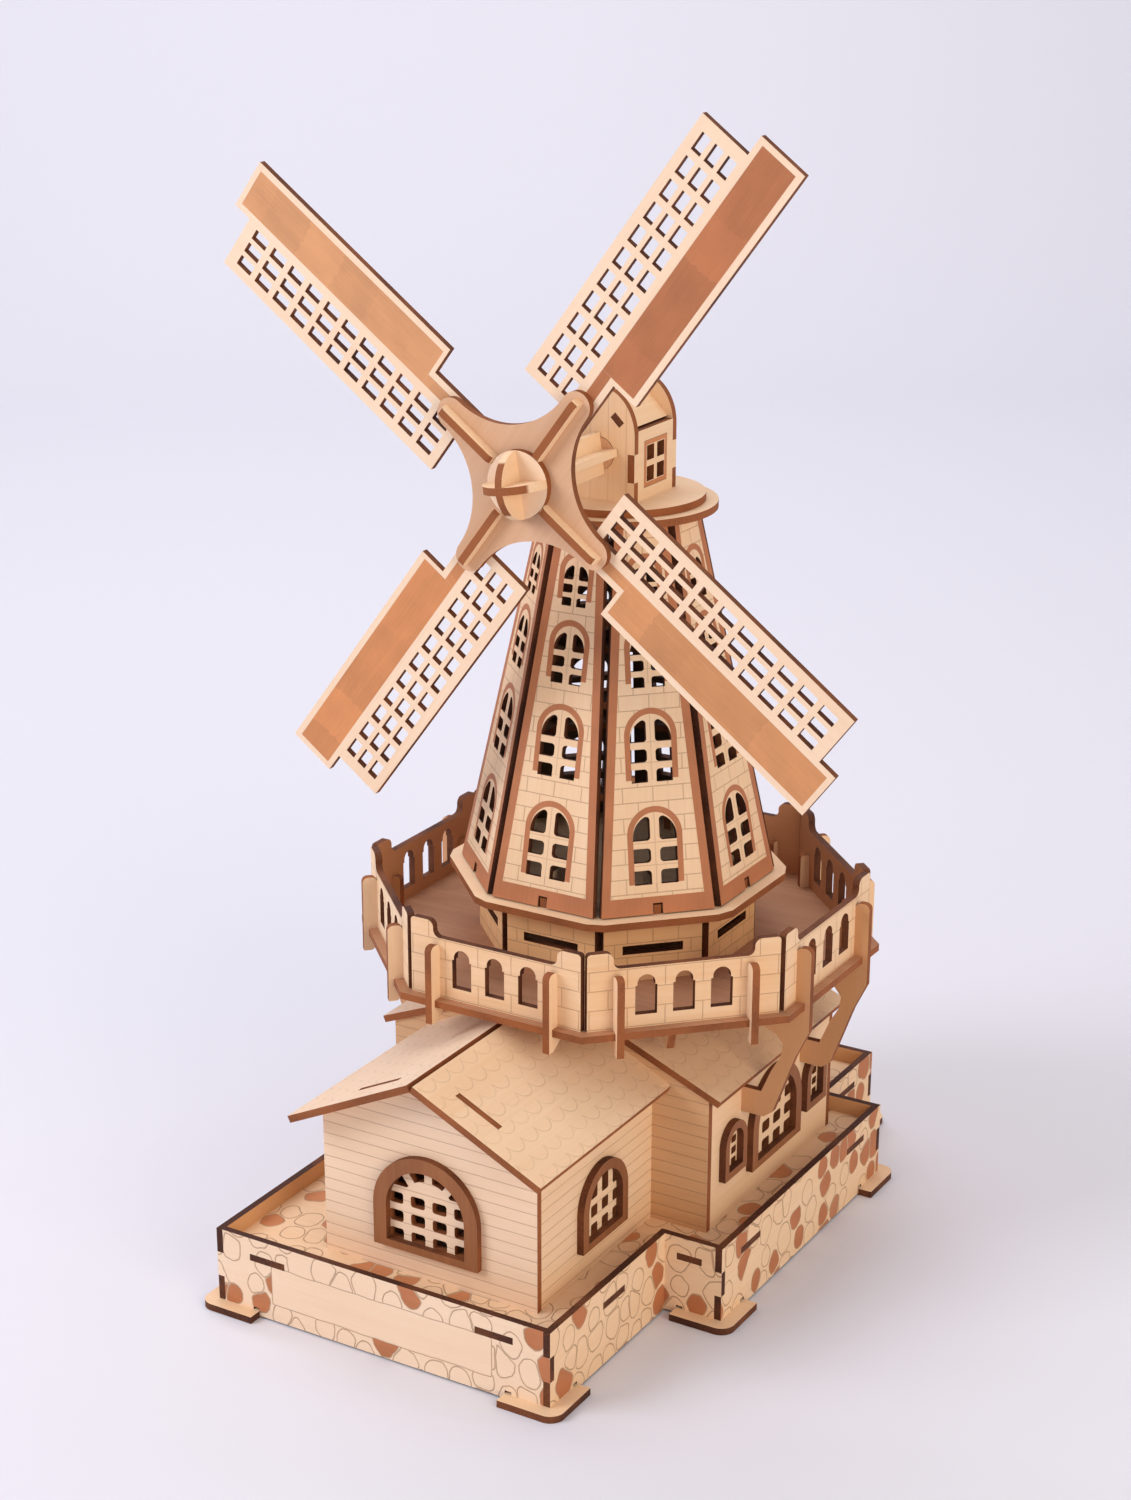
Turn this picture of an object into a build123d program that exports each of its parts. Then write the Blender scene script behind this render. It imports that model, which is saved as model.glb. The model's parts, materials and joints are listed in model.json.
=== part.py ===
from build123d import *
from math import atan, cos, degrees, radians, sin, sqrt, tan
import os

# Laser-cut plywood windmill kit: a walled base, a three-wing house, an octagonal
# balcony, a tapered eight-sided tower, a turning cap and a four-sail rotor.
# Millimetres, +Z up, origin on the tower axis at floor level, sails facing -Y.

# ---- sheet and clearances ----
ply = 3.0
corner_gap = 1.9         # open slit beside each tower and drum panel's edge
rail_gap = 0.1           # beside the inner edge of a railing panel's end
turn_clearance = 0.1     # radial, between a turning journal and its hole
turn_play = 0.3          # axial, between a turning shoulder and its wall
table_gap = 0.1          # between the tower's top disc and the cap's
seat_gap = 0.05          # between a slot and the plate that drops into it
deck_slot_gap = 0.35     # before and behind a gable's foot in its deck slot

# ---- base ----
base_left = -89.05       # outer face of the long left wall
wing_width = 155.5
main_width = 181.0
base_front = -166.5      # outer face of the front wing
main_front = -77.0
main_rear = 72.5
base_rear = 120.0
rim_top = 35.0
skirt_bottom = 0.8
deck_top = 28.0
foot_size = 26.0
foot_overhang = 6.0
foot_round = 6.0
deck_tab = 17.0
front_tab_inset = 24.8   # deck tab centres, in from the nearest corner
side_tab_inset = 48.5
rear_tab_inset = 26.8
main_tab_inset = 25.2
step_tab_inset = 14.5
step_tab_half = 5.6
relief = 1.2             # depth of the slit beside a foot notch

# ---- houses, heights above the deck ----
main_half = 74.5         # main house, outer faces
main_depth_half = 57.0
main_eave = 80.0         # roof edge, half the width over both panels
main_eave_rise = 60.1
main_roof_lap = 1.1      # roof past the gable
house_half = 49.0        # front and rear house wings
front_house_front = 146.5
rear_house_back = 100.0
house_eave = 57.6
house_roof_lap = 11.8
house_ridge_rise = 89.5
house_eave_rise = 61.5
roof_tab_inner = 13.0
roof_tab_outer = 32.0
roof_tab_sunk = 0.4

# ---- windows: outer half width, frame bar, sill and top above the deck, then
# the lattice's pitches and bar ----
gable_window = (24.0, 6.0, 11.5, 53.5, 10.0, 7.9, 3.5, 3, "fan")
wing_window = (17.6, 4.3, 11.5, 44.9, 8.5, 7.9, 3.5, 2, "tall")
large_window = (22.5, 5.0, 12.5, 52.0, 10.2, 8.2, 3.5, 7, "plain")
small_window = (9.5, 3.4, 18.5, 42.4, 6.2, 4.9, 2.1, 7, "plain")
fan_depth = 5.0          # from the frame in to the fan panes' feet
fan_angle = 37.0         # fan's slanting bars, from upright
sill_bar = 3.2           # window frame's bottom bar
wing_window_offset = 47.5   # wing window's centre, behind the gable face
small_window_offset = 37.5

# ---- balcony, heights above its floor ----
floor_rise = 96.2        # floor's top above the deck
floor_apothem = 101.0
rail_apothem = 97.0      # outer face
rail_height = 32.2
rail_middle = 25.4
rail_shoulder = 7.0
rail_sweep = 7.0         # run of the curve from shoulder down to the middle
rail_round = 1.5
baluster_width = 8.8
baluster_pitch = 15.2
baluster_sill = 5.3
baluster_spring = 17.5
baluster_top = 22.0
bracket_offset = 27.0
bracket_grip = 6.2       # bracket's outer prong, beyond the railing's face
bracket_prong = 4.0      # inner prong, inside the railing
bracket_rise = 23.2
bracket_inner_rise = 14.8
bracket_drop = 6.7       # below the floor's underside
bracket_flare = 3.4
knee_drop = 9.2          # where the knee bracket turns inward, below the floor's underside
knee_foot_drop = 17.5    # knee foot's underside and top, below the main roof's eave
knee_foot_top_drop = 6.5
eave_gap = 3.6           # between the main roof's edge and a knee bracket
support_rib_inner = 60.0
support_rib_outer = 86.0
support_rib_drop = 15.7

# ---- drum and tower, heights above the ledge ----
drum_apothem = 54.0
drum_rise = 27.6
drum_slot = (25.2, 3.8, 13.6)   # length, height, centre above the balcony floor
ledge_apothem = 66.0
ledge_corner = 69.9
tower_apothem = 61.0
tower_taper = 0.205
tower_rise = 151.6
tower_notch = (4.0, 4.4)
ring_width = 9.0
ring_rises = (48.2, 83.7, 115.2)
foot_rib_inner = 44.0
foot_rib_height = 14.0
# windows up a tower panel: half width, sill, height
tower_windows = ((9.0, 12.6, 28.0), (8.4, 53.4, 25.4), (6.8, 90.8, 20.6), (5.4, 121.4, 16.4))

# ---- cap, heights above its base disc ----
top_disc_radius = 39.0
cap_disc_radius = 34.0
cap_half = 15.7
cap_depth_half = 17.0
cap_spring_rise = 25.5
cap_crown_rise = 44.5
cap_side_rise = 27.8
cap_roof_rise = 42.1     # where the roof sheets' outer faces would meet
cap_roof_edge = 13.3
cap_tab = (7.9, 19.0)
cap_pane = (5.8, 5.9)
cap_pane_bar = 2.4
cap_pane_sill = 6.7
cap_roof_tab = 5.5       # tab's length, and its start down the slope from the ridge
cap_roof_tab_start = 7.0
pivot_radius = 3.0
retainer_radius = 11.0

# ---- rotor ----
hub_rise = 18.3          # shaft's height above the cap's base disc
sail_face = -72.4        # front face of the sails
sail_turn = -37.0        # angle of the first sail at rest
sail_tip = 160.5
lattice_tip = 152.2
solid_root = 54.0
lattice_root = 33.5
solid_edge = 17.5
spine_edge = 3.4
lattice_edge = 25.4
arm_half = 6.0
arm_root = 7.4
hub_waist = 22.0
hub_reach = 38.6
hub_nose_radius = 13.0
hub_back_radius = 16.0
shaft_half = 8.2
journal_radius = 6.5
journal_half = 4.2
end_disc_radius = 10.0
shaft_end_proud = 1.0    # shaft's tail past its end disc
rib_start = 13.0
rib_end = 42.0
rib_proud = 4.6
rib_slot = (20.0, 35.0)
lattice_columns = 3
lattice_rows = 11
lattice_hole = (7.5, 4.3)
lattice_pitch = (10.25, 6.3)
lattice_first = (41.1, 6.8)

# ---- worked out ----
turn22 = tan(radians(22.5))
wing_right = base_left + wing_width
main_right = base_left + main_width
foot_top = ply
deck_bottom = deck_top - ply
floor_top = deck_top + floor_rise
floor_bottom = floor_top - ply
ledge_bottom = floor_top + drum_rise
ledge_top = ledge_bottom + ply
tower_top = ledge_top + tower_rise
main_ridge = floor_bottom
main_eave_top = deck_top + main_eave_rise
house_ridge = deck_top + house_ridge_rise
house_eave_top = deck_top + house_eave_rise
bracket_inner = rail_apothem - ply - bracket_prong
bracket_outer = rail_apothem + bracket_grip
bracket_top = floor_top + bracket_rise
bracket_inner_top = floor_top + bracket_inner_rise
bracket_bottom = floor_bottom - bracket_drop
knee_bend = floor_bottom - knee_drop
knee_foot = main_eave_top - knee_foot_drop
knee_foot_top = main_eave_top - knee_foot_top_drop
knee_tab = (knee_foot + 3.4, knee_foot_top - 1.6)
main_slope = (main_ridge - main_eave_top) / main_eave
house_slope = (house_ridge - house_eave_top) / house_eave
cap_bottom = tower_top + 2 * ply + table_gap
hub_height = cap_bottom + hub_rise
hub_front = sail_face - ply

os.makedirs("parts", exist_ok=True)


def save(name, *solids):
    """Write one node; several solids make a group."""
    shape = solids[0] if len(solids) == 1 else Compound(children=list(solids))
    shape.label = name
    export_step(shape, f"parts/{name}.step")


def outward(angle, distance, tilt=0.0):
    """Plane whose normal points outward at `angle` round Z; 0 faces -Y and 90 faces +X."""
    a, t = radians(angle), radians(tilt)
    normal = Vector(sin(a) * cos(t), -cos(a) * cos(t), sin(t))
    along = Vector(cos(a), sin(a), 0)
    origin = Vector(sin(a), -cos(a), 0) * distance
    return Plane(origin=origin, x_dir=along, z_dir=normal)


def outline(*points):
    """Face with straight sides in the local plane."""
    return make_face(Polyline(*points, close=True))


def box_face(x0, y0, x1, y1):
    return Pos((x0 + x1) / 2, (y0 + y1) / 2) * Rectangle(x1 - x0, y1 - y0)


def sheet(plane, face, thickness=ply):
    """Plate behind `plane`, whose normal is the plate's outer face."""
    return extrude(plane * face, amount=-thickness).solid()


def flat(face, top, thickness=ply):
    """Level plate whose upper face is at `top`."""
    return extrude(Pos(0, 0, top) * face, amount=-thickness).solid()


def octagon(apothem):
    return RegularPolygon(apothem, 8, major_radius=False, rotation=22.5)


def arch(half, sill, top):
    """Arched opening: straight sides up to a half round that ends at `top`."""
    spring = top - half
    sides = Polyline((-half, spring), (-half, sill), (half, sill), (half, spring))
    crown = ThreePointArc((half, spring), (0, top), (-half, spring))
    return make_face([sides, crown])


# ============================ base ============================

def base_wall(angle, distance, low, high, low_corner, high_corner, tabs):
    """One skirt wall in local u along the wall and z up; corners may be None."""
    sill = skirt_bottom
    face = box_face(low, sill, high, rim_top)
    third = (rim_top - foot_top) / 3
    centre_tab = angle in (0, 180)
    for end, inward, is_corner in ((low, 1, low_corner), (high, -1, high_corner)):
        if not is_corner:
            continue
        reach = foot_size - foot_overhang + seat_gap
        a, b = sorted((end, end + inward * reach))
        face -= box_face(a, sill - 1, b, foot_top)
        relief_a, relief_b = sorted((end + inward * reach, end + inward * (reach - ply)))
        face -= box_face(relief_a, sill - 1, relief_b, foot_top + relief)
        a, b = sorted((end, end + inward * ply))
        bands = ((foot_top, foot_top + third), (rim_top - third, rim_top))
        if not centre_tab:
            bands = ((foot_top + third, rim_top - third),)
        for bottom, top in bands:
            face -= box_face(a, bottom, b, top)
    for u in tabs:
        face -= box_face(u - deck_tab / 2, deck_bottom, u + deck_tab / 2, deck_top)
    return sheet(outward(angle, distance), face)


# deck tabs, each as its place along its wall
front_tabs = [base_left + front_tab_inset, wing_right - front_tab_inset]
wing_side_tab = base_front + side_tab_inset
rear_side_tab = base_rear - rear_tab_inset
main_side_tabs = [main_front + main_tab_inset, main_rear - main_tab_inset]
step_tab = main_right - step_tab_inset
left_tabs = [wing_side_tab, *main_side_tabs, rear_side_tab]

front_wall = base_wall(0, -base_front, base_left, wing_right, True, True, front_tabs)
rear_wall = base_wall(180, base_rear, -wing_right, -base_left, True, True, [-t for t in front_tabs])
left_wall = base_wall(270, -base_left, -base_rear, -base_front, True, True, [-t for t in left_tabs])
wing_right_wall = base_wall(90, wing_right, base_front, main_front + ply, True, False, [wing_side_tab])
rear_right_wall = base_wall(90, wing_right, main_rear - ply, base_rear, False, True, [rear_side_tab])
main_right_wall = base_wall(90, main_right, main_front, main_rear, True, True, main_side_tabs)


def step_wall(angle, distance, low, high, low_corner, high_corner, u):
    """Short wall where the base widens, with a narrower deck slot."""
    wall = base_wall(angle, distance, low, high, low_corner, high_corner, [])
    slot = box_face(u - step_tab_half, deck_bottom, u + step_tab_half, deck_top)
    return (wall - sheet(outward(angle, distance), slot)).solid()


save("front_wing_front_wall", front_wall)
save("front_wing_side_wall", wing_right_wall)
save("base_left_wall", left_wall)
save("base_step_walls",
     step_wall(0, -main_front, wing_right, main_right, False, True, step_tab),
     step_wall(180, main_rear, -main_right, -wing_right, True, False, -step_tab))
save("main_side_wall", main_right_wall)
save("rear_wing_side_wall", rear_right_wall)
save("rear_wing_rear_wall", rear_wall)

# deck: the inside of the skirt, with tabs out to the walls' faces
deck = box_face(base_left + ply, base_front + ply, wing_right - ply, base_rear - ply)
deck += box_face(base_left + ply, main_front + ply, main_right - ply, main_rear - ply)
for u in front_tabs:
    deck += box_face(u - deck_tab / 2, base_front, u + deck_tab / 2, base_rear)
for v in main_side_tabs:
    deck += box_face(base_left, v - deck_tab / 2, main_right, v + deck_tab / 2)
for v in (wing_side_tab, rear_side_tab):
    deck += box_face(base_left, v - deck_tab / 2, wing_right, v + deck_tab / 2)
deck += box_face(step_tab - step_tab_half, main_front, step_tab + step_tab_half, main_rear)

# slots for the house walls' feet
gable_lines = (-front_house_front, -main_depth_half, main_depth_half - ply, rear_house_back - ply)
foot_tabs = [(side * roof_tab_inner, side * roof_tab_outer) for side in (-1, 1)]
for line in gable_lines:
    for pair in foot_tabs:
        a, b = sorted(pair)
        deck -= box_face(a, line - deck_slot_gap, b, line + ply + deck_slot_gap)
save("deck_plate", flat(deck, deck_top))

# feet: one rounded plate under each outer corner
foot_face = Rectangle(foot_size, foot_size)
corners = [(x, y, 1 if x > base_left else -1, -1 if y < 0 else 1)
           for x, y in ((base_left, base_front), (wing_right, base_front), (main_right, main_front),
                        (main_right, main_rear), (wing_right, base_rear), (base_left, base_rear))]
feet = []
for x, y, sx, sy in corners:
    cx = x + sx * (foot_overhang - foot_size / 2)
    cy = y + sy * (foot_overhang - foot_size / 2)
    plate = Pos(cx, cy) * foot_face
    outer = plate.vertices().sort_by(lambda v: sx * v.X + sy * v.Y)[-1]
    feet.append(flat(fillet(outer, foot_round), foot_top))
save("corner_feet", *feet)


# ============================ houses ============================

def fan_panes(half, spring, low, bar):
    """Panes under a round crown, above `low` and between radiating bars."""
    ring = Circle(half) - Circle(half - fan_depth)
    ring = (Pos(0, spring) * ring) & box_face(-half, low, half, spring + half)
    for angle in (-fan_angle, 0, fan_angle):
        ring -= Pos(0, spring) * (Rot(0, 0, angle) * box_face(-bar / 2, 0, bar / 2, half + 1))
    return ring.faces()


def frame_holes(window, centre=0.0):
    """Lattice panes inside an arched window: rows of rounded rectangles, and its crown's panes."""
    half, bar, sill, top, pitch_x, pitch_z, lattice_bar, rows, crown = window
    sill, top = deck_top + sill, deck_top + top
    inner = arch(half - bar, sill + sill_bar, top - bar)
    wide, high = pitch_x - lattice_bar, pitch_z - lattice_bar + 0.4
    first = sill + sill_bar + high / 2 - 0.5
    panes = []
    for side in (-1, 1):
        for i in range(2):
            for j in range(rows):
                place = Pos(side * pitch_x * (i + 0.5), first + pitch_z * j)
                panes.append((place * RectangleRounded(wide, high, 0.18 * wide)) & inner)
            if crown == "tall":
                low = first + pitch_z * rows - high / 2
                tall = Pos(side * pitch_x * (i + 0.5), low + half / 2) * RectangleRounded(wide, half, 0.18 * wide)
                panes.append(tall & inner)
    if crown == "fan":
        panes += fan_panes(half - bar, top - half, first + pitch_z * rows - high / 2, lattice_bar)
    return [Pos(centre, 0) * pane for pane in panes if pane is not None and pane.area > 2.0]


def window_frame(plane, window, centre):
    """Proud arched frame on a wall's outer face."""
    half, bar = window[:2]
    sill, top = deck_top + window[2], deck_top + window[3]
    ring = arch(half, sill, top) - arch(half - bar, sill + sill_bar, top - bar)
    return extrude(plane * (Pos(centre, 0) * ring), amount=ply).solid()


def wall_face(face, holes):
    for hole in holes:
        face -= hole
    return face


def roof_under(x, ridge, slope):
    """Height of a pitched roof's underside at distance x from the ridge line."""
    return ridge - slope * abs(x) - ply * sqrt(1 + slope * slope)


def gable(half, ridge, slope, tabbed):
    """Gable wall outline, with feet for the deck and, if tabbed, tabs for the roof."""
    shoulder = roof_under(half, ridge, slope)
    face = outline((-half, deck_top), (half, deck_top), (half, shoulder),
                   (0, roof_under(0, ridge, slope)), (-half, shoulder))
    for a, b in foot_tabs:
        face += box_face(min(a, b), deck_bottom, max(a, b), deck_top + 1)
        if tabbed:
            rise = ply * sqrt(1 + slope * slope) - roof_tab_sunk
            za, zb = roof_under(a, ridge, slope), roof_under(b, ridge, slope)
            face += outline((a, za - 1), (b, zb - 1), (b, zb + rise), (a, za + rise))
    return face


def roof_panel(side, front, back, ridge, slope, eave, slots=()):
    """Roof sheet on one side of the ridge; `slots` are gable tabs' front faces."""
    angle = atan(slope)
    length = (eave - ply * sin(angle)) / cos(angle)
    down = Vector(side * cos(angle), 0, -sin(angle))
    normal = Vector(side * sin(angle), 0, cos(angle))
    plane = Plane(origin=(0, (front + back) / 2, roof_under(0, ridge, slope)), x_dir=down, z_dir=normal)
    panel = extrude(plane * (Pos(length / 2, 0) * Rectangle(length, back - front)), amount=ply).solid()
    middle = side * (roof_tab_inner + roof_tab_outer) / 2
    for y in slots:
        cutter = Pos(middle, y + ply / 2, ridge) * Box(roof_tab_outer - roof_tab_inner, ply, ridge)
        panel -= cutter
    return panel.solid()


def plain_wall(low, high, top):
    return box_face(low, deck_top, high, top)


# main house
main_gable_face = gable(main_half, main_ridge, main_slope, False)
save("main_house_front_gable", sheet(outward(0, main_depth_half), main_gable_face))
save("main_house_rear_gable", sheet(outward(180, main_depth_half), main_gable_face))

main_wall_top = roof_under(main_half, main_ridge, main_slope)
main_wall_length = main_depth_half - ply
side_face = plain_wall(-main_wall_length, main_wall_length, main_wall_top)
side_face = wall_face(side_face, frame_holes(large_window))
for offset in (-small_window_offset, small_window_offset):
    side_face = wall_face(side_face, frame_holes(small_window, offset))
for offset in (-bracket_offset, bracket_offset):
    side_face -= box_face(offset - ply / 2, knee_tab[0], offset + ply / 2, knee_tab[1])
save("main_house_side_walls", *[sheet(outward(a, main_half), side_face) for a in (90, 270)])

# front and rear house wings
house_gable_face = wall_face(gable(house_half, house_ridge, house_slope, True), frame_holes(gable_window))
save("front_house_gable", sheet(outward(0, front_house_front), house_gable_face))
save("rear_house_gable", sheet(outward(180, rear_house_back), house_gable_face))

house_wall_top = roof_under(house_half, house_ridge, house_slope)
front_low, front_high = -front_house_front + ply, -main_depth_half
front_window_place = -front_house_front + wing_window_offset
front_side_faces = []
for sign in (1, -1):
    low, high = sorted((sign * front_low, sign * front_high))
    face = wall_face(plain_wall(low, high, house_wall_top), frame_holes(wing_window, sign * front_window_place))
    front_side_faces.append(sheet(outward(90 * (2 - sign), house_half), face))
save("front_house_side_walls", *front_side_faces)

rear_window_place = (main_depth_half + rear_house_back - ply) / 2
rear_side_faces = []
for sign in (1, -1):
    low, high = sorted((sign * main_depth_half, sign * (rear_house_back - ply)))
    face = wall_face(plain_wall(low, high, house_wall_top), frame_holes(small_window, sign * rear_window_place))
    rear_side_faces.append(sheet(outward(90 * (2 - sign), house_half), face))
save("rear_house_side_walls", *rear_side_faces)

# roofs
main_roof_end = main_depth_half + main_roof_lap
front_roof_end = -front_house_front - house_roof_lap
rear_roof_end = rear_house_back + house_roof_lap
for side, word in ((-1, "left"), (1, "right")):
    save(f"main_roof_{word}",
         roof_panel(side, -main_roof_end, main_roof_end, main_ridge, main_slope, main_eave))
    save(f"front_roof_{word}",
         roof_panel(side, front_roof_end, -main_depth_half, house_ridge, house_slope, house_eave,
                    [-front_house_front]))
    save(f"rear_roof_{word}",
         roof_panel(side, main_depth_half, rear_roof_end, house_ridge, house_slope, house_eave,
                    [rear_house_back - ply]))

# window frames
save("gable_window_frames",
     window_frame(outward(0, front_house_front), gable_window, 0),
     window_frame(outward(180, rear_house_back), gable_window, 0))
save("front_side_window_frames",
     window_frame(outward(90, house_half), wing_window, front_window_place),
     window_frame(outward(270, house_half), wing_window, -front_window_place))
save("main_large_window_frames",
     *[window_frame(outward(a, main_half), large_window, 0) for a in (90, 270)])
save("small_window_frames",
     *[window_frame(outward(a, main_half), small_window, offset)
       for a in (90, 270) for offset in (-small_window_offset, small_window_offset)],
     window_frame(outward(90, house_half), small_window, rear_window_place),
     window_frame(outward(270, house_half), small_window, -rear_window_place))

# interlocked plates inside the main house, under the roof
frame_middle = (deck_top + roof_under(0, main_ridge, main_slope)) / 2
inner_half = main_half - ply
long_face = outline((-inner_half, deck_top), (inner_half, deck_top),
                    (inner_half, roof_under(inner_half, main_ridge, main_slope)),
                    (0, roof_under(0, main_ridge, main_slope)),
                    (-inner_half, roof_under(inner_half, main_ridge, main_slope)))
long_face -= box_face(-ply / 2, frame_middle, ply / 2, main_ridge)
cross_face = box_face(-main_wall_length, deck_top, main_wall_length, roof_under(ply / 2, main_ridge, main_slope))
cross_face -= box_face(-ply / 2, deck_top - 1, ply / 2, frame_middle)
save("inner_frame_long", sheet(outward(0, ply / 2), long_face))
save("inner_frame_cross", sheet(outward(90, ply / 2), cross_face))


# ============================ balcony ============================

def ring_of(solid, angles):
    return [Rot(0, 0, angle) * solid for angle in angles]


# plates standing across a side of the octagon: x outward, y up
radial_plane = Plane(origin=(0, 0, 0), x_dir=(0, -1, 0), z_dir=(-1, 0, 0))

floor_face = octagon(floor_apothem)
for angle in range(0, 360, 45):
    for offset in (-bracket_offset, bracket_offset):
        notch = box_face(offset - ply / 2, -floor_apothem - 1, offset + ply / 2, -bracket_inner)
        floor_face -= Rot(0, 0, angle) * notch
save("balcony_floor", flat(floor_face, floor_top))


def rail_outline():
    """Railing panel: raised rounded shoulders, lower middle, three baluster openings."""
    half = (rail_apothem - ply) * turn22 - rail_gap
    top, low = floor_top + rail_height, floor_top + rail_middle
    inner = half - rail_shoulder
    ends = inner - rail_sweep
    middle = ((inner + ends) / 2, (top + low) / 2)
    edges = [Line((-half, floor_top), (half, floor_top)), Line((ends, low), (-ends, low))]
    for side in (-1, 1):
        edges += [
            Line((side * half, floor_top), (side * half, top - rail_round)),
            RadiusArc((side * half, top - rail_round), (side * (half - rail_round), top), -side * rail_round),
            Line((side * (half - rail_round), top), (side * inner, top)),
            ThreePointArc((side * inner, top), (side * (inner - rail_sweep * 0.36), top - 0.8),
                          (side * middle[0], middle[1])),
            ThreePointArc((side * middle[0], middle[1]), (side * (ends + rail_sweep * 0.36), low + 0.8),
                          (side * ends, low)),
        ]
    face = make_face(edges)
    for i in (-1, 0, 1):
        x = i * baluster_pitch
        spring, crown = floor_top + baluster_spring, floor_top + baluster_top
        face -= box_face(x - baluster_width / 2, floor_top + baluster_sill, x + baluster_width / 2, spring)
        face -= Pos(x, 0) * arch(baluster_width / 2 - 0.8, spring - 1, crown)
    return face


rail = sheet(outward(0, rail_apothem), rail_outline())
save("railing_panels", *ring_of(rail, range(0, 360, 45)))


def bracket_solid(lower):
    """Bracket across one side: r outward and z up, straddling the railing and the floor edge."""
    inner_rail = rail_apothem - ply - seat_gap
    upper = [(bracket_outer, bracket_top), (rail_apothem, bracket_top), (rail_apothem, floor_top),
             (inner_rail, floor_top), (inner_rail, bracket_inner_top), (bracket_inner, bracket_inner_top)]
    face = outline(*(upper + lower))
    crowns = [v for v in face.vertices() if v.Y > bracket_inner_top - 0.1]
    outer = [v for v in crowns if v.X > rail_apothem - 0.1]
    face = fillet(outer, 2.4)
    inner = [v for v in face.vertices() if abs(v.Y - bracket_inner_top) < 0.1]
    face = fillet(inner, 1.6)
    return extrude(radial_plane * face, amount=ply / 2, both=True).solid()


short_lower = [(bracket_inner, floor_bottom), (bracket_outer - bracket_flare, bracket_bottom),
               (bracket_outer, bracket_bottom)]
bracket = bracket_solid(short_lower)
short = []
for angle in (0, 45, 135, 180, 225, 315):
    for offset in (-bracket_offset, bracket_offset):
        short.append(Rot(0, 0, angle) * Pos(offset, 0, 0) * bracket)
save("short_brackets", *short)

# knee brackets: down past the eave to a foot tabbed into the side wall
knee_clear = main_eave + eave_gap
knee_lower = [(bracket_inner, floor_bottom), (knee_clear, floor_bottom), (knee_clear, knee_bend - 1.5),
              (knee_clear + 5.6, knee_bend - 4), (knee_clear + 8.6, knee_bend - 7.6),
              (knee_clear + 7.8, knee_bend - 13), (knee_clear + 3.9, knee_bend - 20),
              (knee_clear - 0.4, knee_foot_top), (main_half, knee_foot_top),
              (main_half, knee_tab[1]), (main_half - ply, knee_tab[1]),
              (main_half - ply, knee_tab[0]), (main_half, knee_tab[0]),
              (main_half, knee_foot), (knee_clear + 1.0, knee_foot), (knee_clear + 4.8, knee_foot + 3),
              (bracket_outer - 5.6, knee_bend - 12), (bracket_outer, knee_bend)]
knee = bracket_solid(knee_lower)
save("long_brackets", *[Rot(0, 0, a) * Pos(o, 0, 0) * knee
                        for a in (90, 270) for o in (-bracket_offset, bracket_offset)])

rib_face = outline((support_rib_inner, floor_bottom), (support_rib_outer, floor_bottom),
                   (support_rib_outer - 6, floor_bottom - support_rib_drop),
                   (support_rib_outer - 11, floor_bottom - support_rib_drop))
support_rib = extrude(radial_plane * rib_face, amount=ply / 2, both=True).solid()
save("floor_support_ribs", *ring_of(support_rib, (45, 135, 225, 315)))


# ============================ drum and tower ============================

slot_length, slot_height, slot_centre = drum_slot
drum_half = drum_apothem * turn22 - corner_gap
drum_face = box_face(-drum_half, floor_top, drum_half, ledge_bottom)
drum_face -= Pos(0, floor_top + slot_centre) * Rectangle(slot_length, slot_height)
save("drum_walls", *ring_of(sheet(outward(0, drum_apothem), drum_face), range(0, 360, 45)))

corner_cut = Rot(0, 0, 22.5) * octagon(ledge_corner)
ledge_face = octagon(ledge_apothem) & corner_cut
save("tower_ledge", flat(ledge_face, ledge_top))

tilt = degrees(atan(tower_taper))
lean = sin(radians(tilt))
rise = cos(radians(tilt))
base_line = tower_apothem + tower_taper * ledge_top   # outer face's apothem carried down to z = 0


def half_at(z):
    return (base_line - tower_taper * z) * turn22 - corner_gap


def sash(half, sill, height):
    """Two by three panes of a tower window, rounded towards the glazing bars."""
    bar = 0.42 * half
    top = sill + height
    whole = arch(half, sill, top)
    shares = ((0.0, 0.205), (0.315, 0.52), (0.63, 1.0))
    panes = []
    for low, high in shares:
        for side in (-1, 1):
            a, b = sorted((side * bar / 2, side * (half + 1)))
            pane = box_face(a, sill + low * height, b, sill + high * height) & whole
            inner = [v for v in pane.vertices() if abs(v.X) < bar / 2 + 0.1 and v.Y > sill + 0.1]
            panes.append(fillet(inner, 0.17 * half))
    return panes


first_v = (ledge_top + ply * lean) / rise
last_v = tower_top / rise
panel_face = outline((-half_at(first_v * rise), first_v), (half_at(first_v * rise), first_v),
                     (half_at(tower_top), last_v), (-half_at(tower_top), last_v))
for half, sill, height in tower_windows:
    for pane in sash(half, ledge_top / rise + sill, height):
        panel_face -= pane
notch_width, notch_height = tower_notch
panel_face -= box_face(-notch_width / 2, first_v - 1, notch_width / 2, first_v + notch_height)
tower_panel = sheet(outward(0, base_line, tilt), panel_face)
save("tower_panels", *ring_of(tower_panel, range(0, 360, 45)))

inner_offset = ply / rise
for word, ring_rise in zip(("lower", "middle", "upper"), ring_rises):
    top = ledge_top + ring_rise
    apothem = base_line - tower_taper * top - inner_offset
    ring_face = octagon(apothem) - octagon(apothem - ring_width)
    save(f"tower_ring_{word}", flat(ring_face, top))

# radial feet behind the panels, each with a toe in its panel's notch
def tower_inside(z):
    return base_line - tower_taper * z - inner_offset


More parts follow.
